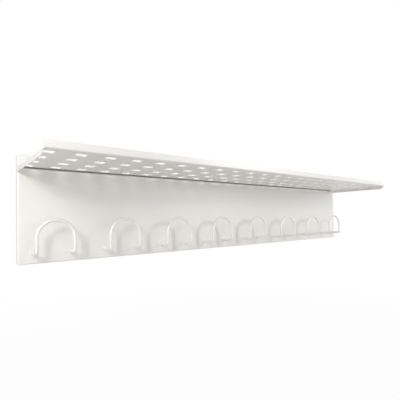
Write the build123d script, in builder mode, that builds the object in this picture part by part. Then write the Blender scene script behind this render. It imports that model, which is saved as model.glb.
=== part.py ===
"""Wall rack for coats and hats: a folded steel back panel that carries a row of
bent-rod loop hooks and a perforated, folded steel shelf.

Millimetres, +Z up, +X along the rack, the wall is the plane y = 0 and the room is
on the -Y side. The origin is on the wall, midway along the line of wall screws.
"""
import os

from build123d import *

# Overall sizes
rack_length = 1200.0
rack_height = 226.0           # from the panel's lower edge to the top of the shelf's upright
shelf_depth = 212.0           # from the panel's face to the front of the shelf's lip
stand_off = 14.0              # from the wall to the panel's face: the depth of its returns

# Sheet metal
panel_sheet = 1.5
shelf_sheet = 1.5
inner_bend = 1.5              # inside radius of every fold
upright_height = 25.0         # of the shelf's upright at the wall, from the shelf's underside
joint_gap = 1.5               # between the panel's upper fold and the shelf's underside
flange_gap = 0.5              # round the panel's rear flange, inside the shelf's upright
lip_height = 14.0             # outside height of the front lip
end_drop = 10.5               # how far the end flanges reach below the shelf's underside
end_corner = 9.0              # rounding of an end flange's lower front corner
end_gap = 0.5                 # from an end flange to the panel's face

# Pattern of square openings in the shelf
slot_side = 20.0
slot_corner = 4.0
slot_pitch = 53.2
slot_end_land = 1.5           # least land between an opening and the fold at its side
slot_rear_margin = 23.2       # from the panel's face to the rear row's centres

# Loop hooks
hook_count = 8
rod_diameter = 7.0
loop_width = 74.0             # between the centre lines of a loop's two legs
loop_reach = 38.5             # from the panel's face to the legs' centre line
loop_end_margin = 27.5        # from the rack's end to the nearest leg's centre line
loop_top_height = 90.5        # centre line of a loop's top, above the panel's lower edge
arm_height = 22.0             # centre line of the arms, above the panel's lower edge
rod_bend = 7.0                # centre-line radius where an arm turns up into a leg

# Fasteners, all of thread size 5
thread_diameter = 5.0
thread_clearance = 0.05       # on the radius, between plain stand-ins for mating threads
hole_clearance = 0.25         # on the radius, round a screw or stud in sheet metal
washer_diameter = 10.0
washer_thickness = 1.0
nut_across_flats = 8.0
nut_height = 4.7
stud_protrusion = 1.3         # stud beyond its nut
stud_chamfer = 0.5
head_diameter = 9.5
head_height = 2.75
head_round = 1.4
socket_across_flats = 3.0
socket_depth = 1.6
screw_length = 10.0
standoff_diameter = 8.0
standoff_shank_diameter = 6.4 # pressed into the panel's rear flange

# Fixing to the wall
wall_hole_count = 4
wall_hole_diameter = 6.0
wall_hole_margin = 60.0       # from the rack's end to the outermost wall screw
spacer_diameter = 13.0

# Planes and heights that follow from the sizes above
outer_bend_panel = inner_bend + panel_sheet
outer_bend_shelf = inner_bend + shelf_sheet
shelf_under = -upright_height / 2    # the screws run midway up the shelf's upright
upright_top = shelf_under + upright_height
panel_top = shelf_under - joint_gap
panel_bottom = upright_top - rack_height
face_y = -stand_off
panel_back_y = face_y + panel_sheet
upright_back_y = face_y + shelf_sheet
flange_face_y = -panel_sheet
shelf_front_y = face_y - shelf_depth
half_length = rack_length / 2
arm_z = panel_bottom + arm_height
loop_top_z = panel_bottom + loop_top_height
loop_y = face_y - loop_reach
loop_radius = loop_width / 2
spring_z = loop_top_z - loop_radius

# Positions along the rack
hook_pitch = (rack_length - 2 * loop_end_margin - loop_width) / (hook_count - 1)
hook_centres = [(n - (hook_count - 1) / 2) * hook_pitch for n in range(hook_count)]
arm_points = [
    (centre + side * loop_radius, arm_z) for centre in hook_centres for side in (-1, 1)
]
wall_pitch = (rack_length - 2 * wall_hole_margin) / (wall_hole_count - 1)
wall_points = [
    ((n - (wall_hole_count - 1) / 2) * wall_pitch, 0.0) for n in range(wall_hole_count)
]
# Two shelf screws stand between each two wall screws, a quarter of the way in from them
screw_points = [
    (x + share * wall_pitch, 0.0) for x, _ in wall_points[:-1] for share in (0.25, 0.75)
]

thread_radius = thread_diameter / 2
stud_hole_radius = thread_radius + hole_clearance
nut_bore_radius = thread_radius + thread_clearance
wall_hole_radius = wall_hole_diameter / 2

os.makedirs("parts", exist_ok=True)


# Back panel: a tray with returns towards the wall and ground, rounded corners. Its
# upper return turns up again at the wall, as a rear flange behind the shelf's upright.
flat_half_length = half_length - outer_bend_shelf
flange_half_length = flat_half_length - flange_gap
fold_radius = inner_bend + panel_sheet / 2

with BuildPart() as back_panel:
    with BuildSketch(Plane.XZ):
        with Locations((0, (panel_top + panel_bottom) / 2)):
            Rectangle(rack_length, panel_top - panel_bottom)
    extrude(amount=stand_off)
    fillet(back_panel.edges().filter_by(Axis.Y), radius=outer_bend_panel)
    front_rim = back_panel.faces().sort_by(Axis.Y)[0].edges()
    fillet(front_rim, radius=outer_bend_panel)
    offset(amount=-panel_sheet, openings=back_panel.faces().sort_by(Axis.Y)[-1])
    with BuildSketch(Plane.XZ.offset(-panel_back_y)):
        with Locations(*arm_points):
            Circle(stud_hole_radius)
    extrude(amount=panel_sheet, mode=Mode.SUBTRACT)
    # the upper return gives way to the fold of the rear flange
    with BuildSketch(Plane.XY.offset(panel_top - panel_sheet)):
        with Locations((0, -outer_bend_panel / 2)):
            Rectangle(2 * flange_half_length, outer_bend_panel)
    extrude(amount=panel_sheet, mode=Mode.SUBTRACT)
    with BuildSketch(Plane.YZ):
        with BuildLine() as rear_fold:
            FilletPolyline(
                (-outer_bend_panel - panel_sheet, panel_top - panel_sheet / 2),
                (-panel_sheet / 2, panel_top - panel_sheet / 2),
                (-panel_sheet / 2, upright_top - shelf_sheet - flange_gap),
                radius=fold_radius,
            )
        trace(line_width=panel_sheet)
    extrude(amount=flange_half_length, both=True)
    with BuildSketch(Plane.XZ):
        with Locations(*screw_points):
            Circle(standoff_shank_diameter / 2)
        with Locations(*wall_points):
            Circle(wall_hole_radius)
    extrude(amount=panel_sheet, mode=Mode.SUBTRACT)
back_panel.part.label = "back_panel"
export_step(back_panel.part, "parts/back_panel.step")


# Shelf: front lip folded up, upright folded up at the back and in again to the wall, an
# end flange folded down at each end. Its flat part ends where the end folds begin.
fold_radius = inner_bend + shelf_sheet / 2
slot_columns = 1 + int(
    (2 * flat_half_length - 2 * slot_end_land - slot_side) / slot_pitch
)
slot_row_room = shelf_depth - slot_rear_margin - slot_side / 2 - outer_bend_shelf
slot_rows = 1 + int((slot_row_room - slot_end_land) / slot_pitch)
slot_centre_y = face_y - slot_rear_margin - (slot_rows - 1) * slot_pitch / 2

with BuildPart() as shelf_deck:
    with BuildSketch(Plane.YZ):
        with BuildLine() as fold_line:
            FilletPolyline(
                (0, upright_top - shelf_sheet / 2),
                (face_y + shelf_sheet / 2, upright_top - shelf_sheet / 2),
                (face_y + shelf_sheet / 2, shelf_under + shelf_sheet / 2),
                (shelf_front_y + shelf_sheet / 2, shelf_under + shelf_sheet / 2),
                (shelf_front_y + shelf_sheet / 2, shelf_under + lip_height),
                radius=fold_radius,
            )
        trace(line_width=shelf_sheet)
    extrude(amount=flat_half_length, both=True)
    # the lip's upright runs on to the rack's ends, past a relief notch below it
    with BuildSketch(Plane.XY.offset(shelf_under + outer_bend_shelf)):
        with Locations((0, shelf_front_y + shelf_sheet / 2)):
            Rectangle(rack_length, shelf_sheet)
    extrude(amount=lip_height - outer_bend_shelf)
    # the upright's ends turn back to the wall
    with BuildSketch(Plane.XY.offset(shelf_under + outer_bend_shelf)):
        with BuildLine() as upright_end:
            FilletPolyline(
                (flat_half_length - inner_bend, face_y + shelf_sheet / 2),
                (half_length - shelf_sheet / 2, face_y + shelf_sheet / 2),
                (half_length - shelf_sheet / 2, 0),
                radius=fold_radius,
            )
        trace(line_width=shelf_sheet)
        mirror(about=Plane.YZ)
    extrude(amount=upright_height - 2 * outer_bend_shelf)
    with BuildSketch(Plane.XY.offset(shelf_under)):
        for side in (-1, 1):
            with Locations(
                (side * (half_length - shelf_sheet / 2), (face_y + outer_bend_shelf) / 2)
            ):
                Rectangle(shelf_sheet, -face_y - outer_bend_shelf)
    extrude(amount=upright_height - outer_bend_shelf)
    # end flanges, between the folds of the upright and of the lip
    with BuildSketch(Plane.XZ.offset(stand_off + outer_bend_shelf)):
        with BuildLine() as end_fold:
            FilletPolyline(
                (flat_half_length - inner_bend, shelf_under + shelf_sheet / 2),
                (half_length - shelf_sheet / 2, shelf_under + shelf_sheet / 2),
                (half_length - shelf_sheet / 2, shelf_under - end_drop),
                radius=fold_radius,
            )
        trace(line_width=shelf_sheet)
        mirror(about=Plane.YZ)
    extrude(amount=shelf_depth - 2 * outer_bend_shelf)
    # the uprights of the end flanges reach back almost to the panel
    with BuildSketch(Plane.XY.offset(shelf_under - end_drop)):
        for side in (-1, 1):
            with Locations(
                (side * (half_length - shelf_sheet / 2), face_y - end_gap - outer_bend_shelf)
            ):
                Rectangle(shelf_sheet, 2 * outer_bend_shelf)
    extrude(amount=end_drop + shelf_sheet - outer_bend_shelf)
    lower_edges = shelf_deck.edges().filter_by(Axis.X).group_by(Axis.Z)[0]
    fillet(lower_edges.group_by(Axis.Y)[0], radius=end_corner)
    with BuildSketch(Plane.XY.offset(shelf_under)):
        with Locations((0, slot_centre_y)):
            with GridLocations(slot_pitch, slot_pitch, slot_columns, slot_rows):
                RectangleRounded(slot_side, slot_side, slot_corner)
    extrude(amount=shelf_sheet, mode=Mode.SUBTRACT)
    with BuildSketch(Plane.XZ.offset(-upright_back_y)):
        with Locations(*screw_points):
            Circle(stud_hole_radius)
        with Locations(*wall_points):
            Circle(wall_hole_radius)
    extrude(amount=shelf_sheet, mode=Mode.SUBTRACT)
shelf_deck.part.label = "shelf_deck"
export_step(shelf_deck.part, "parts/shelf_deck.step")


# Loop hooks: one bent rod each, with a threaded stud turned down on both ends
stud_back_y = panel_back_y + washer_thickness + nut_height + stud_protrusion

for number, centre in enumerate(hook_centres, start=1):
    left = centre - loop_radius
    right = centre + loop_radius
    with BuildPart() as hook:
        with BuildLine() as centre_line:
            FilletPolyline(
                (left, face_y, arm_z), (left, loop_y, arm_z), (left, loop_y, spring_z),
                radius=rod_bend,
            )
            ThreePointArc(
                (left, loop_y, spring_z), (centre, loop_y, loop_top_z),
                (right, loop_y, spring_z),
            )
            FilletPolyline(
                (right, loop_y, spring_z), (right, loop_y, arm_z), (right, face_y, arm_z),
                radius=rod_bend,
            )
        with BuildSketch(Plane.XZ.offset(stand_off)):
            with Locations((left, arm_z)):
                Circle(rod_diameter / 2)
        sweep(path=centre_line.wires()[0])
        with BuildSketch(Plane.XZ.offset(-stud_back_y)):
            with Locations((left, arm_z), (right, arm_z)):
                Circle(thread_radius)
        extrude(amount=stud_back_y - face_y)
        chamfer(hook.edges().group_by(Axis.Y)[-1], length=stud_chamfer)
    hook.part.label = f"hook_{number}"
    export_step(hook.part, f"parts/hook_{number}.step")


# Washers and nuts that hold the hooks, inside the tray of the panel
with BuildPart() as hook_washers:
    with BuildSketch(Plane.XZ.offset(-panel_back_y - washer_thickness)):
        with Locations(*arm_points):
            Circle(washer_diameter / 2)
            Circle(stud_hole_radius, mode=Mode.SUBTRACT)
    extrude(amount=washer_thickness)
hook_washers.part.label = "hook_washers"
export_step(hook_washers.part, "parts/hook_washers.step")

with BuildPart() as hook_nuts:
    with BuildSketch(Plane.XZ.offset(-panel_back_y - washer_thickness - nut_height)):
        with Locations(*arm_points):
            RegularPolygon(nut_across_flats / 2, side_count=6, major_radius=False)
            Circle(nut_bore_radius, mode=Mode.SUBTRACT)
    extrude(amount=nut_height)
hook_nuts.part.label = "hook_nuts"
export_step(hook_nuts.part, "parts/hook_nuts.step")


# Button-head screws and washers that draw the shelf's upright onto standoffs, which are
# pressed into the panel's rear flange
with BuildPart() as deck_washers:
    with BuildSketch(Plane.XZ.offset(stand_off)):
        with Locations(*screw_points):
            Circle(washer_diameter / 2)
            Circle(stud_hole_radius, mode=Mode.SUBTRACT)
    extrude(amount=washer_thickness)
deck_washers.part.label = "deck_washers"
export_step(deck_washers.part, "parts/deck_washers.step")

head_seat_y = face_y - washer_thickness

with BuildPart() as deck_screws:
    with BuildSketch(Plane.XZ.offset(-head_seat_y)):
        with Locations(*screw_points):
            Circle(head_diameter / 2)
    extrude(amount=head_height)
    head_rims = deck_screws.edges().filter_by(GeomType.CIRCLE).group_by(Axis.Y)[0]
    fillet(head_rims, radius=head_round)
    with BuildSketch(Plane.XZ.offset(-head_seat_y + head_height)):
        with Locations(*screw_points):
            RegularPolygon(socket_across_flats / 2, side_count=6, major_radius=False)
    extrude(amount=-socket_depth, mode=Mode.SUBTRACT)
    with BuildSketch(Plane.XZ.offset(-head_seat_y)):
        with Locations(*screw_points):
            Circle(thread_radius)
    extrude(amount=-screw_length)
    chamfer(deck_screws.edges().group_by(Axis.Y)[-1], length=stud_chamfer)
deck_screws.part.label = "deck_screws"
export_step(deck_screws.part, "parts/deck_screws.step")

with BuildPart() as deck_standoffs:
    with BuildSketch(Plane.XZ.offset(-flange_face_y)):
        with Locations(*screw_points):
            Circle(standoff_diameter / 2)
    extrude(amount=flange_face_y - upright_back_y)
    with BuildSketch(Plane.XZ):
        with Locations(*screw_points):
            Circle(standoff_shank_diameter / 2)
    extrude(amount=panel_sheet)
    with BuildSketch(Plane.XZ):
        with Locations(*screw_points):
            Circle(nut_bore_radius)
    extrude(amount=-upright_back_y, mode=Mode.SUBTRACT)
deck_standoffs.part.label = "deck_standoffs"
export_step(deck_standoffs.part, "parts/deck_standoffs.step")


# Sleeves between the shelf's upright and the panel's rear flange, which take the clamping
# force of the wall screws
with BuildPart() as wall_spacers:
    with BuildSketch(Plane.XZ.offset(-flange_face_y)):
        with Locations(*wall_points):
            Circle(spacer_diameter / 2)
            Circle(wall_hole_radius, mode=Mode.SUBTRACT)
    extrude(amount=flange_face_y - upright_back_y)
wall_spacers.part.label = "wall_spacers"
export_step(wall_spacers.part, "parts/wall_spacers.step")
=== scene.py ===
"""A wall coat rack with a hat shelf, dressed for rendering.

A folded steel panel carries a row of bent-rod loop hooks and a perforated, folded
steel shelf, all powder-coated. Studs, nuts, washers, screws and standoffs are bright
zinc, and nylon sleeves stand behind the shelf's upright. Metres, +Z up, +X along the
rack; the wall is the plane y = 0 and the room is on the -Y side.
"""

import math

import bmesh
import bpy
from bpy.props import FloatProperty, FloatVectorProperty, IntProperty, PointerProperty
from mathutils import Matrix, Vector


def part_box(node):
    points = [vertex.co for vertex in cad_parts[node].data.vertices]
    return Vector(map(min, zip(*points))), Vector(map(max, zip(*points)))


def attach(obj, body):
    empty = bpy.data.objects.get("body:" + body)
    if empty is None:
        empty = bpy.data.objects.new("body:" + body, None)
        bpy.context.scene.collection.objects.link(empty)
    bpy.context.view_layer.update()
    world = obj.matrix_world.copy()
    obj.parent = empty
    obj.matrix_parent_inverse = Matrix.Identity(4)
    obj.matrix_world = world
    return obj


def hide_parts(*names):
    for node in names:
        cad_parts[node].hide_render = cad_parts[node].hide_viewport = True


bl_info = {
    "name": "Loop Hook Coat Rack",
    "version": (1, 0, 0),
    "blender": (4, 5, 0),
    "location": "3D View > Sidebar > Coat Rack",
    "description": "Coats the sheet metal, bends the hooks and fits a coat rack's hardware",
    "category": "Object",
}

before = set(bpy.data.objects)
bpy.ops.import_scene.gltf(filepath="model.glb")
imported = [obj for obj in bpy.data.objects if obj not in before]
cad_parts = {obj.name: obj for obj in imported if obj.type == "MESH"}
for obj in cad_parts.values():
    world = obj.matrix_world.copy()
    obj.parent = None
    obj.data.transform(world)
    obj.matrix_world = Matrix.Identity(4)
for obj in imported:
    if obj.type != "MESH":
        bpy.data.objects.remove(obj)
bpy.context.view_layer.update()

MM = 0.001

# what the frame says of the places that other pieces are set out from
HOOK_NODES = sorted(
    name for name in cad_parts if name.startswith("hook_") and name[-1].isdigit()
)
FIRST_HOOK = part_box(HOOK_NODES[0])
LAST_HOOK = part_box(HOOK_NODES[-1])
PANEL_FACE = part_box("back_panel")[0].y
FLANGE_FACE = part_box("wall_spacers")[1].y   # the sleeves end on the panel's rear flange
STUD_TIP = FIRST_HOOK[1].y
ROD = 7 * MM

# fits and edges of the small hardware
THREAD_GAP = 0.05 * MM          # on the radius, between a thread and its nut
HOLE_GAP = 0.25 * MM            # on the radius, between a thread and its washer
THREAD_CHAMFER = 0.5 * MM       # at the tip of a stud or a screw
THREAD_STEPS = 7                # rings in one turn of a thread
DOME_STEPS = 8                  # rings over the dome of a screw's head
NUT_FACE = 0.475                # radius of a nut's flat face, as a share of its width
NUT_CONE = math.radians(30)     # slope of a nut's chamfered corners
SHARP_EDGE = math.radians(32)   # a bend above this stays a crisp edge
ANY_TURN = 6.0                  # radians, the most a fastener is turned by chance

NOISE_SPAN = (0.3, 0.7)         # where most values of a noise lie

# the camera, in metres, radians and millimetres, and shares of its view's width
CAMERA_PLACE = (-0.7227, -0.7759, -0.1285)
YAW, PITCH, ROLL = math.radians(39.224), math.radians(1.56), math.radians(-1.111)
LENS, SENSOR = 29.689, 36.0
SHIFT = (-0.02032, 0.02684)

LAMP_COLOUR = (1.0, 0.985, 0.96)
EVEN_COLOUR = (1.0, 0.99, 0.975, 1.0)
WHITE = (1.0, 1.0, 1.0, 1.0)
FLOOR_COLOUR = (0.86, 0.85, 0.83)
FLOOR_REACH = 12.0              # from the middle of the floor to its sides
FLOOR_FADE = (1.6, 3.2)         # distances between which the floor fades to white
FLOOR_VEIL = (0.96, 1.0)        # how white it looks at those distances


def middle(box):
    return (box[0] + box[1]) / 2


class RackCoat(bpy.types.PropertyGroup):
    """The powder coat on the sheet metal and the rods."""

    sheet_colour: FloatVectorProperty(
        name="Sheet Colour", description="Coat of the panel and the shelf",
        subtype="COLOR", size=3, min=0, max=1, default=(0.84, 0.822, 0.79),
    )
    rod_colour: FloatVectorProperty(
        name="Rod Colour", description="Coat of the loop hooks",
        subtype="COLOR", size=3, min=0, max=1, default=(0.86, 0.842, 0.81),
    )
    roughness: FloatProperty(
        name="Roughness", description="Mean roughness of the coat",
        subtype="FACTOR", min=0, max=1, default=0.7,
    )
    gloss: FloatProperty(
        name="Gloss", description="Strength of the coat's mirror part, 0.5 for clear resin",
        subtype="FACTOR", min=0, max=1, default=0.22,
    )
    peel_size: FloatProperty(
        name="Peel Size", description="Width of one cell of the coat's orange peel",
        subtype="DISTANCE", min=0.2 * MM, max=10 * MM, default=1.6 * MM,
    )
    peel_depth: FloatProperty(
        name="Peel Depth", description="Height of the orange peel",
        subtype="DISTANCE", min=0, max=0.2 * MM, default=0.02 * MM,
    )


class RackHooks(bpy.types.PropertyGroup):
    """The row of loop hooks."""

    rod: FloatProperty(
        name="Rod Diameter", description="Diameter of the bent rod",
        subtype="DISTANCE", min=2 * MM, default=ROD,
    )
    count: IntProperty(
        name="Hooks", description="Number of loops in the row", min=1,
        default=len(HOOK_NODES),
    )
    pitch: FloatProperty(
        name="Pitch", description="Distance between the middles of two loops",
        subtype="DISTANCE", min=10 * MM,
        default=(middle(LAST_HOOK).x - middle(FIRST_HOOK).x) / (len(HOOK_NODES) - 1),
    )
    width: FloatProperty(
        name="Loop Width", description="Between the centre lines of a loop's two legs",
        subtype="DISTANCE", min=10 * MM, default=FIRST_HOOK[1].x - FIRST_HOOK[0].x - ROD,
    )
    front: FloatProperty(
        name="Leg Line", description="Place of the legs' centre line in front of the wall",
        subtype="DISTANCE", max=0, default=FIRST_HOOK[0].y + ROD / 2,
    )
    arm: FloatProperty(
        name="Arm Line", description="Height of the arms' centre line",
        subtype="DISTANCE", default=FIRST_HOOK[0].z + ROD / 2,
    )
    crown: FloatProperty(
        name="Crown Line", description="Height of the loop's top, on its centre line",
        subtype="DISTANCE", default=FIRST_HOOK[1].z - ROD / 2,
    )
    bend: FloatProperty(
        name="Foot Bend", description="Centre-line radius where an arm turns into a leg",
        subtype="DISTANCE", min=3.5 * MM, default=7 * MM,
    )


class RackHardware(bpy.types.PropertyGroup):
    """Studs, nuts, washers, screws and sleeves."""

    thread: FloatProperty(
        name="Thread", description="Outside diameter of every thread",
        subtype="DISTANCE", min=2 * MM, default=5 * MM,
    )
    lead: FloatProperty(
        name="Thread Pitch", description="Distance between two turns of the thread",
        subtype="DISTANCE", min=0.2 * MM, default=0.8 * MM,
    )
    flats: FloatProperty(
        name="Nut Width", description="Across the flats of the hexagon nuts",
        subtype="DISTANCE", min=4 * MM, default=8 * MM,
    )
    socket: FloatProperty(
        name="Socket Width", description="Across the flats of the screws' sockets",
        subtype="DISTANCE", min=1 * MM, default=3 * MM,
    )
    screws: IntProperty(
        name="Shelf Screws", description="Number of screws along the shelf", min=1,
        default=6,
    )
    screw_pitch: FloatProperty(
        name="Screw Pitch", description="Distance between two of the shelf's screws",
        subtype="DISTANCE", min=20 * MM, default=180 * MM,
    )
    wall_holes: IntProperty(
        name="Wall Holes", description="Number of holes for wall screws, each in a sleeve",
        min=1, default=4,
    )
    wall_hole: FloatProperty(
        name="Wall Hole Width", description="Diameter of the wall holes",
        subtype="DISTANCE", min=3 * MM, default=6 * MM,
    )
    wall_pitch: FloatProperty(
        name="Wall Hole Pitch", description="Distance between two of the wall holes",
        subtype="DISTANCE", min=20 * MM, default=360 * MM,
    )
    colour: FloatVectorProperty(
        name="Zinc Colour", description="Bright zinc plate", subtype="COLOR",
        size=3, min=0, max=1, default=(0.66, 0.67, 0.69),
    )
    nylon: FloatVectorProperty(
        name="Nylon Colour", description="Natural nylon of the sleeves", subtype="COLOR",
        size=3, min=0, max=1, default=(0.72, 0.70, 0.64),
    )


def watts(name, description, default):
    """A property for the power of one lamp."""
    return FloatProperty(
        name=name, description=description, subtype="POWER", unit="POWER", min=0,
        default=default,
    )


class RackStudio(bpy.types.PropertyGroup):
    """Floor, lamps and the light all round."""

    floor_height: FloatProperty(
        name="Floor Height", description="Height of the floor below the wall screws",
        subtype="DISTANCE", max=-0.3, default=-0.9,
    )
    right_power: watts("Right Lamp", "Front right, shines through the shelf", 3.6)
    lower_power: watts(
        "Lower Right Lamp", "Under the right lamp, throws the loops' shadows", 2.7
    )
    left_power: watts("Left Lamp", "Close to the left end, shines through the shelf", 2.1)
    far_power: watts("Far Left Lamp", "Farther to the left and in front", 3.6)
    high_power: watts("High Lamp", "High up at the front left", 3.9)
    under_power: watts(
        "Under Lamp", "Below the left end, lights the shelf's underside", 1.5
    )
    side_power: watts("Right Side Lamp", "Lights the rack's right end", 3.0)
    front_power: watts("Front Lamp", "Very wide, straight in front", 2.9)
    back_power: watts("Back Lamp", "Lights the side that faces the wall", 16.0)
    surround: FloatProperty(
        name="Surround", description="Strength of the even light all round",
        min=0, max=2, default=0.2,
    )


def place(tree, kind, inputs=None, **settings):
    """Adds a node, sets it up, and links or fills its inputs."""
    node = tree.nodes.new(kind)
    for name, value in settings.items():
        setattr(node, name, value)
    for name, value in (inputs or {}).items():
        socket = node.inputs[name]
        if isinstance(value, bpy.types.NodeSocket):
            tree.links.new(value, socket)
        else:
            socket.default_value = value
    return node


def reckon(tree, operation, one, two):
    """The result of a sum, a product or another operation on two values."""
    return place(
        tree, "ShaderNodeMath", {0: one, 1: two}, operation=operation
    ).outputs["Value"]


def ranged(tree, value, span, onto):
    """Maps a value from one span onto another, held at the ends."""
    return place(tree, "ShaderNodeMapRange", {
        "Value": value, "From Min": span[0], "From Max": span[1],
        "To Min": onto[0], "To Max": onto[1],
    }).outputs["Result"]


def varied(tree, noise, low, high):
    """A value that a noise moves between low and high."""
    return ranged(tree, noise, NOISE_SPAN, (low, high))


def speckle(tree, where, grain, detail=2.0, stretch=None):
    """Noise with cells about grain metres wide, on object coordinates."""
    if stretch:
        where = place(
            tree, "ShaderNodeVectorMath", {0: where, 1: stretch}, operation="MULTIPLY"
        ).outputs["Vector"]
    return place(
        tree, "ShaderNodeTexNoise",
        {"Vector": where, "Scale": 1 / grain, "Detail": detail, "Roughness": 0.55},
    ).outputs["Fac"]


def tinted(tree, colour, amount):
    """A colour made lighter or darker by an amount near 1."""
    return place(
        tree, "ShaderNodeVectorMath", {0: (*colour,), 1: amount}, operation="MULTIPLY"
    ).outputs["Vector"]


def raised(tree, height, depth, strength=1.0, under=None):
    """A normal bumped by a height, on top of the normal under it."""
    inputs = {"Strength": strength, "Distance": depth, "Height": height}
    if under is not None:
        inputs["Normal"] = under
    return place(tree, "ShaderNodeBump", inputs).outputs["Normal"]


def surface(name):
    """A new node material and its shader, with object coordinates."""
    material = bpy.data.materials.new(name)
    material.use_nodes = True
    tree = material.node_tree
    shader = tree.nodes["Principled BSDF"]
    where = place(tree, "ShaderNodeTexCoord").outputs["Object"]
    return material, tree, shader, where


def powder_coat(name, colour, coat):
    """Matt powder coat: a faint drift of tone, fine specks and orange peel."""
    material, tree, shader, where = surface(name)
    drift = varied(tree, speckle(tree, where, 110 * MM), 0.988, 1.004)
    specks = varied(tree, speckle(tree, where, 0.55 * MM, 1.0), 0.985, 1.01)
    tone = tinted(tree, colour, reckon(tree, "MULTIPLY", drift, specks))
    rub = speckle(tree, where, 28 * MM, 4.0)
    rough = varied(tree, rub, coat.roughness - 0.05, coat.roughness + 0.06)
    cells = speckle(tree, where, coat.peel_size, 1.5)
    swells = speckle(tree, where, 9 * coat.peel_size, 1.0)
    peel = raised(tree, cells, coat.peel_depth)
    waves = raised(tree, swells, 3 * coat.peel_depth, 0.6, peel)
    tree.links.new(tone, shader.inputs["Base Color"])
    tree.links.new(rough, shader.inputs["Roughness"])
    tree.links.new(waves, shader.inputs["Normal"])
    shader.inputs["IOR"].default_value = 1.5
    shader.inputs["Specular IOR Level"].default_value = coat.gloss
    return material


def bright_zinc(name, colour):
    """Thin zinc plate: mottled tone, and fine marks that run round the axis."""
    material, tree, shader, where = surface(name)
    mottle = varied(tree, speckle(tree, where, 2.2 * MM, 3.0), 0.9, 1.05)
    marks = speckle(tree, where, 0.5 * MM, 2.0, (0.25, 3.0, 0.25))
    rough = varied(tree, marks, 0.24, 0.4)
    tree.links.new(tinted(tree, colour, mottle), shader.inputs["Base Color"])
    tree.links.new(rough, shader.inputs["Roughness"])
    tree.links.new(raised(tree, marks, 0.01 * MM), shader.inputs["Normal"])
    shader.inputs["Metallic"].default_value = 1.0
    return material


def moulded_nylon(name, colour):
    """Natural nylon with a faint moulded grain."""
    material, tree, shader, where = surface(name)
    cloud = varied(tree, speckle(tree, where, 5 * MM), 0.95, 1.03)
    grain = speckle(tree, where, 0.4 * MM)
    rough = varied(tree, grain, 0.45, 0.6)
    tree.links.new(tinted(tree, colour, cloud), shader.inputs["Base Color"])
    tree.links.new(rough, shader.inputs["Roughness"])
    tree.links.new(raised(tree, grain, 0.02 * MM), shader.inputs["Normal"])
    return material


def finish(name, maker, *how):
    """The material of that name, made on first use."""
    return bpy.data.materials.get(name) or maker(name, *how)


def dress_node(node, material):
    """Gives a node of the frame one material and leaves its shape alone."""
    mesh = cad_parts[node].data
    mesh.materials.clear()
    mesh.materials.append(material)


def hexagon_reach(flats, radius=math.inf):
    """Reach of a hexagon across those flats, cut back to a round of that radius."""
    def reach(angle):
        off = (angle + math.pi / 6) % (math.pi / 3) - math.pi / 6
        return min(radius, flats / 2 / math.cos(off))
    return reach


def toothed_reach(radius, depth, teeth):
    """Reach of a round with straight-cut teeth."""
    return lambda angle: radius - depth * abs(2 * (angle * teeth / math.tau % 1) - 1)


def thread_reach(radius, y, lead):
    """Reach of a screw thread at the place y along its axis."""
    depth = 0.5 * lead
    return lambda angle: radius - depth * abs(2 * ((y / lead - angle / math.tau) % 1) - 1)


def threaded_end(radius, lead, tip, length):
    """Rings of the last length of a threaded rod, down to its chamfered tip."""
    start = tip - length
    steps = int((length - THREAD_CHAMFER) / lead * THREAD_STEPS)
    places = [start + k * lead / THREAD_STEPS for k in range(steps + 1)]
    return [
        (start - 0.1 * MM, radius),
        *((y, thread_reach(radius, y, lead)) for y in places),
        (tip, radius - THREAD_CHAMFER),
    ]


def turned(rings, sides, closed=False):
    """A smooth mesh about the Y axis, from rings of (y, reach).

    A reach is a radius, or a function that gives the radius at an angle.
    """
    shape = bmesh.new()
    around = [math.tau * k / sides for k in range(sides)]
    rows = []
    for y, reach in rings:
        radii = [reach(angle) if callable(reach) else reach for angle in around]
        rows.append([
            shape.verts.new((radius * math.sin(angle), y, radius * math.cos(angle)))
            for radius, angle in zip(radii, around)
        ])
    pairs = list(zip(rows, rows[1:]))
    if closed:
        pairs.append((rows[-1], rows[0]))
    else:
        shape.faces.new(rows[0])
        shape.faces.new(rows[-1])
    for one, two in pairs:
        for k in range(sides):
            n = (k + 1) % sides
            shape.faces.new((one[k], one[n], two[n], two[k]))
    bmesh.ops.recalc_face_normals(shape, faces=shape.faces)
    for face in shape.faces:
        face.smooth = True
    mesh = bpy.data.meshes.new("turned")
    shape.to_mesh(mesh)
    shape.free()
    mesh.set_sharp_from_angle(angle=SHARP_EDGE)
    return mesh


def new_tree(name, sizes):
    """An empty geometry tree with its named inputs, and its input node."""
    tree = bpy.data.node_groups.new(name, "GeometryNodeTree")
    tree.is_modifier = True
    tree.interface.new_socket("Geometry", in_out="INPUT", socket_type="NodeSocketGeometry")
    for label, kind, default in sizes:
        socket = tree.interface.new_socket(label, in_out="INPUT", socket_type=kind)
        if default is not None:
            socket.default_value = default
    tree.interface.new_socket("Geometry", in_out="OUTPUT", socket_type="NodeSocketGeometry")
    return tree, place(tree, "NodeGroupInput").outputs


def row_points(tree, given, shift):
    """Points along X, one each pitch, centred on x = 0 and then moved by shift."""
    gaps = reckon(tree, "SUBTRACT", given["Count"], 1)
    half = reckon(tree, "MULTIPLY", reckon(tree, "MULTIPLY", gaps, -0.5), given["Pitch"])
    start = place(
        tree, "ShaderNodeCombineXYZ",
        {"X": reckon(tree, "ADD", half, shift), "Z": given["Height"]},
    )
    step = place(tree, "ShaderNodeCombineXYZ", {"X": given["Pitch"]})
    return place(tree, "GeometryNodeMeshLine", {
        "Count": given["Count"], "Start Location": start.outputs["Vector"],
        "Offset": step.outputs["Vector"],
    }).outputs["Mesh"]


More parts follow.
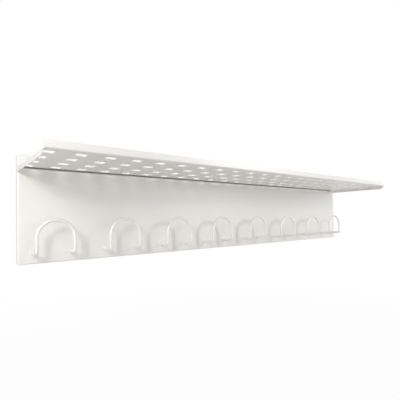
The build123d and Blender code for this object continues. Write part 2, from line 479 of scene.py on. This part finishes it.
def end_tree(tree, instances, material):
    """Makes the instances real, gives them their finish and closes the tree."""
    real = place(
        tree, "GeometryNodeRealizeInstances", {"Geometry": instances}
    ).outputs["Geometry"]
    coated = place(
        tree, "GeometryNodeSetMaterial", {"Geometry": real, "Material": material}
    )
    place(tree, "NodeGroupOutput", {"Geometry": coated.outputs["Geometry"]})


def hardware_row_tree():
    """A row of one fastener, or of pairs of it, each turned a little differently."""
    tree, given = new_tree("Hardware Row", (
        ("Count", "NodeSocketInt", 8), ("Pitch", "NodeSocketFloat", 153 * MM),
        ("Pair Width", "NodeSocketFloat", 0.0), ("Height", "NodeSocketFloat", 0.0),
        ("Turn", "NodeSocketFloat", 1.0), ("Seed", "NodeSocketInt", 3),
        ("Finish", "NodeSocketMaterial", None),
    ))
    half = reckon(tree, "MULTIPLY", given["Pair Width"], 0.5)
    one = row_points(tree, given, reckon(tree, "MULTIPLY", half, -1.0))
    two = row_points(tree, given, half)
    both = place(tree, "GeometryNodeJoinGeometry")
    tree.links.new(one, both.inputs["Geometry"])
    tree.links.new(two, both.inputs["Geometry"])
    points = place(tree, "GeometryNodeSwitch", {
        "Switch": reckon(tree, "GREATER_THAN", given["Pair Width"], 0.0),
        "False": one, "True": both.outputs["Geometry"],
    }, input_type="GEOMETRY")
    chance = place(
        tree, "FunctionNodeRandomValue",
        {"Min": 0.0, "Max": given["Turn"], "Seed": given["Seed"]}, data_type="FLOAT",
    )
    spin = place(tree, "ShaderNodeCombineXYZ", {"Y": chance.outputs["Value"]})
    spread = place(tree, "GeometryNodeInstanceOnPoints", {
        "Points": points.outputs["Output"], "Instance": given["Geometry"],
        "Rotation": spin.outputs["Vector"],
    })
    end_tree(tree, spread.outputs["Instances"], given["Finish"])
    return tree


def hook_row_tree():
    """Sweeps a round rod along a bent line and repeats it along the rack."""
    tree, given = new_tree("Loop Hook Row", (
        ("Rod Diameter", "NodeSocketFloat", ROD), ("Sides", "NodeSocketInt", 24),
        ("Bend Points", "NodeSocketInt", 40), ("Step", "NodeSocketFloat", 1.4 * MM),
        ("Count", "NodeSocketInt", 8),
        ("Pitch", "NodeSocketFloat", 153 * MM), ("Height", "NodeSocketFloat", 0.0),
        ("Finish", "NodeSocketMaterial", None),
    ))
    line = place(tree, "GeometryNodeMeshToCurve", {"Mesh": given["Geometry"]})
    radius = place(
        tree, "GeometryNodeInputNamedAttribute", {"Name": "bend"}, data_type="FLOAT"
    )
    bent = place(tree, "GeometryNodeFilletCurve", {
        "Curve": line.outputs["Curve"], "Count": given["Bend Points"],
        "Radius": radius.outputs["Attribute"], "Limit Radius": False,
    }, mode="POLY")
    even = place(
        tree, "GeometryNodeResampleCurve",
        {"Curve": bent.outputs["Curve"], "Length": given["Step"]}, mode="LENGTH",
    )
    outline = place(tree, "GeometryNodeCurvePrimitiveCircle", {
        "Resolution": given["Sides"],
        "Radius": reckon(tree, "MULTIPLY", given["Rod Diameter"], 0.5),
    }, mode="RADIUS")
    rod = place(tree, "GeometryNodeCurveToMesh", {
        "Curve": even.outputs["Curve"], "Profile Curve": outline.outputs["Curve"],
        "Fill Caps": True,
    })
    spread = place(
        tree, "GeometryNodeInstanceOnPoints",
        {"Points": row_points(tree, given, 0.0), "Instance": rod.outputs["Mesh"]},
    )
    end_tree(tree, spread.outputs["Instances"], given["Finish"])
    return tree


def grow(name, seed, tree, values):
    """Runs a tree on a seed mesh and keeps what it makes as a plain mesh."""
    piece = bpy.data.objects.new(name, seed)
    bpy.context.scene.collection.objects.link(piece)
    modifier = piece.modifiers.new(tree.name, "NODES")
    modifier.node_group = tree
    for socket in tree.interface.items_tree:
        if socket.in_out == "INPUT" and socket.name in values:
            modifier[socket.identifier] = values[socket.name]
    depsgraph = bpy.context.evaluated_depsgraph_get()
    grown = bpy.data.meshes.new_from_object(
        piece.evaluated_get(depsgraph), depsgraph=depsgraph
    )
    piece.modifiers.clear()
    grown.name = name
    piece.data = grown
    bpy.data.meshes.remove(seed)
    if not grown.polygons:
        raise RuntimeError(f"{name} came out empty")
    return piece


def fit_hardware(name, seed, material, nodes, row):
    """Spreads one fastener along the rack and lets it stand for its nodes."""
    tree = bpy.data.node_groups.get("Hardware Row") or hardware_row_tree()
    piece = grow(name, seed, tree, {"Finish": material, **row})
    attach(piece, "root")
    if nodes:
        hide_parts(*nodes)


def zinc(scene):
    return finish("bright_zinc", bright_zinc, scene.rack_hardware.colour)


def hook_row(scene, **more):
    """Where the hooks' arms are, for a fastener on each."""
    hooks = scene.rack_hooks
    return {"Count": hooks.count, "Pitch": hooks.pitch, "Pair Width": hooks.width,
            "Height": hooks.arm, "Turn": ANY_TURN, **more}


def screw_row(scene, **more):
    """Where the shelf's screws are, for a fastener on each."""
    made = scene.rack_hardware
    return {"Count": made.screws, "Pitch": made.screw_pitch, "Height": 0.0,
            "Turn": ANY_TURN, **more}


def span_of(node):
    """Where a row of round fasteners starts and ends along Y, and their radius."""
    low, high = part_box(node)
    return low.y, high.y, (high.z - low.z) / 2


class RACK_OT_coat_sheet(bpy.types.Operator):
    """Gives the folded panel and the perforated shelf their powder coat"""

    bl_idname = "rack.coat_sheet"
    bl_label = "Coat Panel and Shelf"

    def execute(self, context):
        coat = context.scene.rack_coat
        for node, name in (("back_panel", "panel_coat"), ("shelf_deck", "shelf_coat")):
            dress_node(node, finish(name, powder_coat, coat.sheet_colour, coat))
        return {"FINISHED"}


class RACK_OT_bend_hooks(bpy.types.Operator):
    """Bends one rod into a loop with two arms, and repeats it along the rack"""

    bl_idname = "rack.bend_hooks"
    bl_label = "Bend Loop Hooks"

    def execute(self, context):
        hooks, coat = context.scene.rack_hooks, context.scene.rack_coat
        half = hooks.width / 2
        # each corner of the bent line and the radius it is bent to
        corners = (
            (-half, PANEL_FACE, hooks.arm, 0.0),
            (-half, hooks.front, hooks.arm, hooks.bend),
            (-half, hooks.front, hooks.crown, half),
            (half, hooks.front, hooks.crown, half),
            (half, hooks.front, hooks.arm, hooks.bend),
            (half, PANEL_FACE, hooks.arm, 0.0),
        )
        joins = [(k, k + 1) for k in range(len(corners) - 1)]
        line = bpy.data.meshes.new("hook_line")
        line.from_pydata([corner[:3] for corner in corners], joins, [])
        bends = line.attributes.new("bend", "FLOAT", "POINT")
        for entry, (*_, bend) in zip(bends.data, corners):
            entry.value = bend
        material = finish("hook_coat", powder_coat, coat.rod_colour, coat)
        piece = grow("loop_hooks", line, hook_row_tree(), {
            "Rod Diameter": hooks.rod, "Count": hooks.count, "Pitch": hooks.pitch,
            "Finish": material,
        })
        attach(piece, "root")
        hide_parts(*HOOK_NODES)
        return {"FINISHED"}


class RACK_OT_thread_studs(bpy.types.Operator):
    """Cuts the threaded studs that hold the hooks behind the panel"""

    bl_idname = "rack.thread_studs"
    bl_label = "Thread Hook Studs"

    def execute(self, context):
        scene, made = context.scene, context.scene.rack_hardware
        radius = made.thread / 2
        rings = [(PANEL_FACE + 0.2 * MM, radius)]
        rings += threaded_end(radius, made.lead, STUD_TIP, length=2.4 * MM)
        seed = turned(rings, sides=28)
        fit_hardware("hook_studs", seed, zinc(scene), (), hook_row(scene))
        return {"FINISHED"}


class RACK_OT_fit_hook_nuts(bpy.types.Operator):
    """Screws a chamfered hexagon nut on each stud"""

    bl_idname = "rack.fit_hook_nuts"
    bl_label = "Fit Hook Nuts"

    def execute(self, context):
        scene, made = context.scene, context.scene.rack_hardware
        low, high = (end.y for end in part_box("hook_nuts"))
        flats, bore, edge = made.flats, made.thread / 2 + THREAD_GAP, 0.45 * MM
        face, corner = NUT_FACE * flats, flats / math.sqrt(3)
        fall = (corner - face) * math.tan(NUT_CONE)
        cone = [
            (share * fall, hexagon_reach(flats, face + share * (corner - face)))
            for share in (0, 0.2, 0.4, 0.6, 0.8, 1)
        ]
        rings = [
            (low + edge, bore), (low, bore + edge),
            *((low + down, reach) for down, reach in cone),
            *((high - down, reach) for down, reach in reversed(cone)),
            (high, bore + edge), (high - edge, bore),
        ]
        seed = turned(rings, sides=72, closed=True)
        fit_hardware("hexagon_nuts", seed, zinc(scene), ("hook_nuts",),
                     hook_row(scene, Seed=11))
        return {"FINISHED"}


def washer(node, bore):
    """A pressed washer: its rim is rounded at the front and sharp at the back."""
    low, high, rim = span_of(node)
    rounding, burr = 0.25 * MM, 0.05 * MM
    rings = [
        (low, bore), (low, rim - rounding),
        (low + 0.08 * MM, rim - 0.08 * MM), (low + rounding, rim),
        (high - burr, rim), (high, rim - burr), (high, bore),
    ]
    return turned(rings, sides=56, closed=True)


class RACK_OT_fit_washers(bpy.types.Operator):
    """Lays a washer under each hook nut and each shelf screw"""

    bl_idname = "rack.fit_washers"
    bl_label = "Fit Washers"

    def execute(self, context):
        scene = context.scene
        bore = scene.rack_hardware.thread / 2 + HOLE_GAP
        for name, node, row in (
            ("stud_washers", "hook_washers", hook_row(scene, Seed=5)),
            ("screw_washers", "deck_washers", screw_row(scene, Seed=7)),
        ):
            fit_hardware(name, washer(node, bore), zinc(scene), (node,), row)
        return {"FINISHED"}


class RACK_OT_fit_screws(bpy.types.Operator):
    """Fits the button-head socket screws that hold the shelf to the panel"""

    bl_idname = "rack.fit_screws"
    bl_label = "Fit Shelf Screws"

    def execute(self, context):
        scene, made = context.scene, context.scene.rack_hardware
        radius, socket = made.thread / 2, made.socket
        top, tip, rim = span_of("deck_screws")
        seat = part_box("deck_washers")[0].y
        shoulder, crown = seat - 0.3 * MM, 0.56 * rim
        # the socket from its drilled bottom out, the domed head, then the thread
        rings = [
            (top + 1.9 * MM, 0.3 * MM), (top + 1.6 * MM, hexagon_reach(socket)),
            (top + 0.2 * MM, hexagon_reach(socket)),
            (top, socket / math.sqrt(3) + 0.1 * MM), (top, crown - 0.3 * MM),
        ]
        for k in range(DOME_STEPS + 1):
            turn = math.pi / 2 * (1 - k / DOME_STEPS)
            rings.append((shoulder - (shoulder - top) * math.sin(turn),
                          crown + (rim - crown) * math.cos(turn)))
        rings += [(seat - 0.1 * MM, rim), (seat, rim - 0.1 * MM), (seat, radius)]
        rings += threaded_end(radius, made.lead, tip, length=3.0 * MM)
        seed = turned(rings, sides=48)
        fit_hardware("button_screws", seed, zinc(scene), ("deck_screws",),
                     screw_row(scene, Seed=13))
        return {"FINISHED"}


class RACK_OT_fit_standoffs(bpy.types.Operator):
    """Presses the knurled standoffs into the panel's rear flange"""

    bl_idname = "rack.fit_standoffs"
    bl_label = "Fit Shelf Standoffs"

    def execute(self, context):
        scene, made = context.scene, context.scene.rack_hardware
        low, high, rim = span_of("deck_standoffs")
        bore, shank = made.thread / 2 + THREAD_GAP, 3.2 * MM
        knurl = toothed_reach(rim, 0.35 * MM, 24)
        # a round body, knurled where it meets the flange, and a shank through it
        rings = [
            (low + 0.4 * MM, bore), (low, bore + 0.4 * MM),
            (low, rim - 0.3 * MM), (low + 0.3 * MM, rim),
            (FLANGE_FACE - 2.4 * MM, rim), (FLANGE_FACE - 2.0 * MM, knurl),
            (FLANGE_FACE, knurl), (FLANGE_FACE, shank),
            (high - 0.2 * MM, shank), (high, shank - 0.2 * MM),
            (high, bore + 0.3 * MM), (high - 0.3 * MM, bore),
        ]
        seed = turned(rings, sides=96, closed=True)
        fit_hardware("shelf_standoffs", seed, zinc(scene), ("deck_standoffs",),
                     screw_row(scene, Seed=17))
        return {"FINISHED"}


class RACK_OT_fit_sleeves(bpy.types.Operator):
    """Sets the nylon sleeves round the wall holes, behind the shelf's upright"""

    bl_idname = "rack.fit_sleeves"
    bl_label = "Fit Wall Sleeves"

    def execute(self, context):
        made = context.scene.rack_hardware
        low, high, rim = span_of("wall_spacers")
        bore, edge = made.wall_hole / 2, 0.4 * MM
        grip = toothed_reach(rim, 0.5 * MM, 16)
        # a plain collar at either end, serrated in between
        rings = [
            (low + edge, bore), (low, bore + edge),
            (low, rim - edge), (low + edge, rim),
            (low + 2.2 * MM, rim), (low + 2.8 * MM, grip),
            (high - 2.8 * MM, grip), (high - 2.2 * MM, rim),
            (high - edge, rim), (high, rim - edge),
            (high, bore + edge), (high - edge, bore),
        ]
        nylon = finish("natural_nylon", moulded_nylon, made.nylon)
        row = {"Count": made.wall_holes, "Pitch": made.wall_pitch, "Height": 0.0,
               "Turn": 0.0}
        seed = turned(rings, sides=64, closed=True)
        fit_hardware("wall_sleeves", seed, nylon, ("wall_spacers",), row)
        return {"FINISHED"}


# name, width, place and aim of each lamp
LAMPS = (
    ("right", 0.24, (0.7, -1.16, 0.4), (1.25, 0, -0.1)),
    ("lower", 0.22, (0.78, -1.19, 0.19), (1.25, 0, -0.1)),
    ("left", 0.2, (-1.0, -0.62, 0.2), (-0.3, 0, -0.1)),
    ("far", 0.35, (-1.45, -1.15, 0.42), (-0.45, 0, -0.1)),
    ("high", 0.5, (-1.3, -0.9, 0.9), (-0.5, 0, -0.05)),
    ("under", 0.5, (-1.3, -0.4, -0.5), (-0.6, -0.12, 0)),
    ("side", 0.8, (2.2, -0.3, 0), (0.6, -0.1, -0.1)),
    ("front", 1.5, (0, -3, 0), (0, 0, -0.1)),
    ("back", 1.5, (0, 2.4, 0.5), (0, 0, -0.1)),
)


def lamp(name, power, size, at, aim):
    """A soft square lamp at a place, turned to what it lights."""
    light = bpy.data.lights.new(name, "AREA")
    light.shape, light.size, light.energy = "SQUARE", size, power
    light.color = LAMP_COLOUR
    thing = bpy.data.objects.new(name, light)
    thing.location = at
    thing.rotation_mode = "QUATERNION"
    thing.rotation_quaternion = (Vector(aim) - Vector(at)).to_track_quat("-Z", "Y")
    bpy.context.scene.collection.objects.link(thing)


def seen_straight(tree):
    """1 for rays from the camera and those that mirror or pass light, else 0."""
    path = place(tree, "ShaderNodeLightPath").outputs
    both = reckon(tree, "MAXIMUM", path["Is Camera Ray"], path["Is Glossy Ray"])
    return reckon(tree, "MAXIMUM", both, path["Is Transmission Ray"])


def white_world(scene, strength):
    """A white background, and an even soft light of its own strength."""
    world = bpy.data.worlds.new("studio")
    world.use_nodes = True
    tree = world.node_tree
    tree.nodes.clear()
    even = place(
        tree, "ShaderNodeBackground", {"Color": EVEN_COLOUR, "Strength": strength}
    ).outputs["Background"]
    white = place(
        tree, "ShaderNodeBackground", {"Color": WHITE, "Strength": 1.0}
    ).outputs["Background"]
    mix = place(tree, "ShaderNodeMixShader", {0: seen_straight(tree), 1: even, 2: white})
    place(tree, "ShaderNodeOutputWorld", {"Surface": mix.outputs["Shader"]})
    scene.world = world


def pale_floor(height):
    """A wide pale floor that keeps a faint shadow and fades to white farther out."""
    far = FLOOR_REACH
    corners = ((-far, -far), (far, -far), (far, far), (-far, far))
    mesh = bpy.data.meshes.new("floor")
    mesh.from_pydata([(x, y, height) for x, y in corners], [], [(0, 1, 2, 3)])
    material, tree, shader, where = surface("pale_floor")
    shade = varied(tree, speckle(tree, where, 400 * MM), 0.97, 1.0)
    tree.links.new(tinted(tree, FLOOR_COLOUR, shade), shader.inputs["Base Color"])
    shader.inputs["Roughness"].default_value = 0.9
    glow = place(tree, "ShaderNodeEmission", {"Color": WHITE, "Strength": 1.0})
    away = place(tree, "ShaderNodeVectorMath", {0: where}, operation="LENGTH")
    fade = ranged(tree, away.outputs["Value"], FLOOR_FADE, FLOOR_VEIL)
    veil = reckon(tree, "MULTIPLY", seen_straight(tree), fade)
    mix = place(tree, "ShaderNodeMixShader", {
        0: veil, 1: shader.outputs["BSDF"], 2: glow.outputs["Emission"],
    })
    surface_input = tree.nodes["Material Output"].inputs["Surface"]
    tree.links.new(mix.outputs["Shader"], surface_input)
    mesh.materials.append(material)
    floor = bpy.data.objects.new("floor", mesh)
    bpy.context.scene.collection.objects.link(floor)


def set_camera(scene):
    """A nearly level camera, lower than the shelf and left of the rack's end."""
    ahead = Vector((math.sin(YAW) * math.cos(PITCH), math.cos(YAW) * math.cos(PITCH),
                    math.sin(PITCH)))
    level = Vector((math.cos(YAW), -math.sin(YAW), 0))
    right = math.cos(ROLL) * level + math.sin(ROLL) * level.cross(ahead)
    up = right.cross(ahead)
    view = bpy.data.cameras.new("camera")
    view.sensor_fit, view.sensor_width, view.lens = "HORIZONTAL", SENSOR, LENS
    view.shift_x, view.shift_y = SHIFT
    camera = bpy.data.objects.new("camera", view)
    turn = Matrix((right, up, -ahead)).transposed().to_4x4()
    camera.matrix_world = Matrix.Translation(CAMERA_PLACE) @ turn
    scene.collection.objects.link(camera)
    scene.camera = camera


class RACK_OT_set_studio(bpy.types.Operator):
    """Sets the floor, the lamps, the white surround and the camera"""

    bl_idname = "rack.set_studio"
    bl_label = "Set Studio"

    def execute(self, context):
        scene, studio = context.scene, context.scene.rack_studio
        scene.view_settings.view_transform = "Standard"
        white_world(scene, studio.surround)
        pale_floor(studio.floor_height)
        for name, size, at, aim in LAMPS:
            lamp(f"{name}_lamp", getattr(studio, f"{name}_power"), size, at, aim)
        set_camera(scene)
        return {"FINISHED"}


GROUPS = (
    ("rack_coat", RackCoat), ("rack_hooks", RackHooks),
    ("rack_hardware", RackHardware), ("rack_studio", RackStudio),
)
STEPS = (
    RACK_OT_coat_sheet, RACK_OT_bend_hooks, RACK_OT_thread_studs, RACK_OT_fit_hook_nuts,
    RACK_OT_fit_washers, RACK_OT_fit_screws, RACK_OT_fit_standoffs, RACK_OT_fit_sleeves,
    RACK_OT_set_studio,
)


class RACK_PT_sidebar(bpy.types.Panel):
    """Sizes, colours and steps of the coat rack"""

    bl_label = "Coat Rack"
    bl_idname = "RACK_PT_sidebar"
    bl_space_type = "VIEW_3D"
    bl_region_type = "UI"
    bl_category = "Coat Rack"

    def draw(self, context):
        for attribute, group in GROUPS:
            box = self.layout.box()
            values = getattr(context.scene, attribute)
            for entry in group.__annotations__:
                box.prop(values, entry)
        for step in STEPS:
            self.layout.operator(step.bl_idname)


def register():
    for attribute, group in GROUPS:
        bpy.utils.register_class(group)
        setattr(bpy.types.Scene, attribute, PointerProperty(type=group))
    for step in STEPS:
        bpy.utils.register_class(step)
    bpy.utils.register_class(RACK_PT_sidebar)


def unregister():
    bpy.utils.unregister_class(RACK_PT_sidebar)
    for step in reversed(STEPS):
        bpy.utils.unregister_class(step)
    for attribute, group in reversed(GROUPS):
        delattr(bpy.types.Scene, attribute)
        bpy.utils.unregister_class(group)


def main():
    register()
    bpy.ops.rack.coat_sheet()
    bpy.ops.rack.bend_hooks()
    bpy.ops.rack.thread_studs()
    bpy.ops.rack.fit_hook_nuts()
    bpy.ops.rack.fit_washers()
    bpy.ops.rack.fit_screws()
    bpy.ops.rack.fit_standoffs()
    bpy.ops.rack.fit_sleeves()
    bpy.ops.rack.set_studio()


if __name__ == "__main__":
    main()
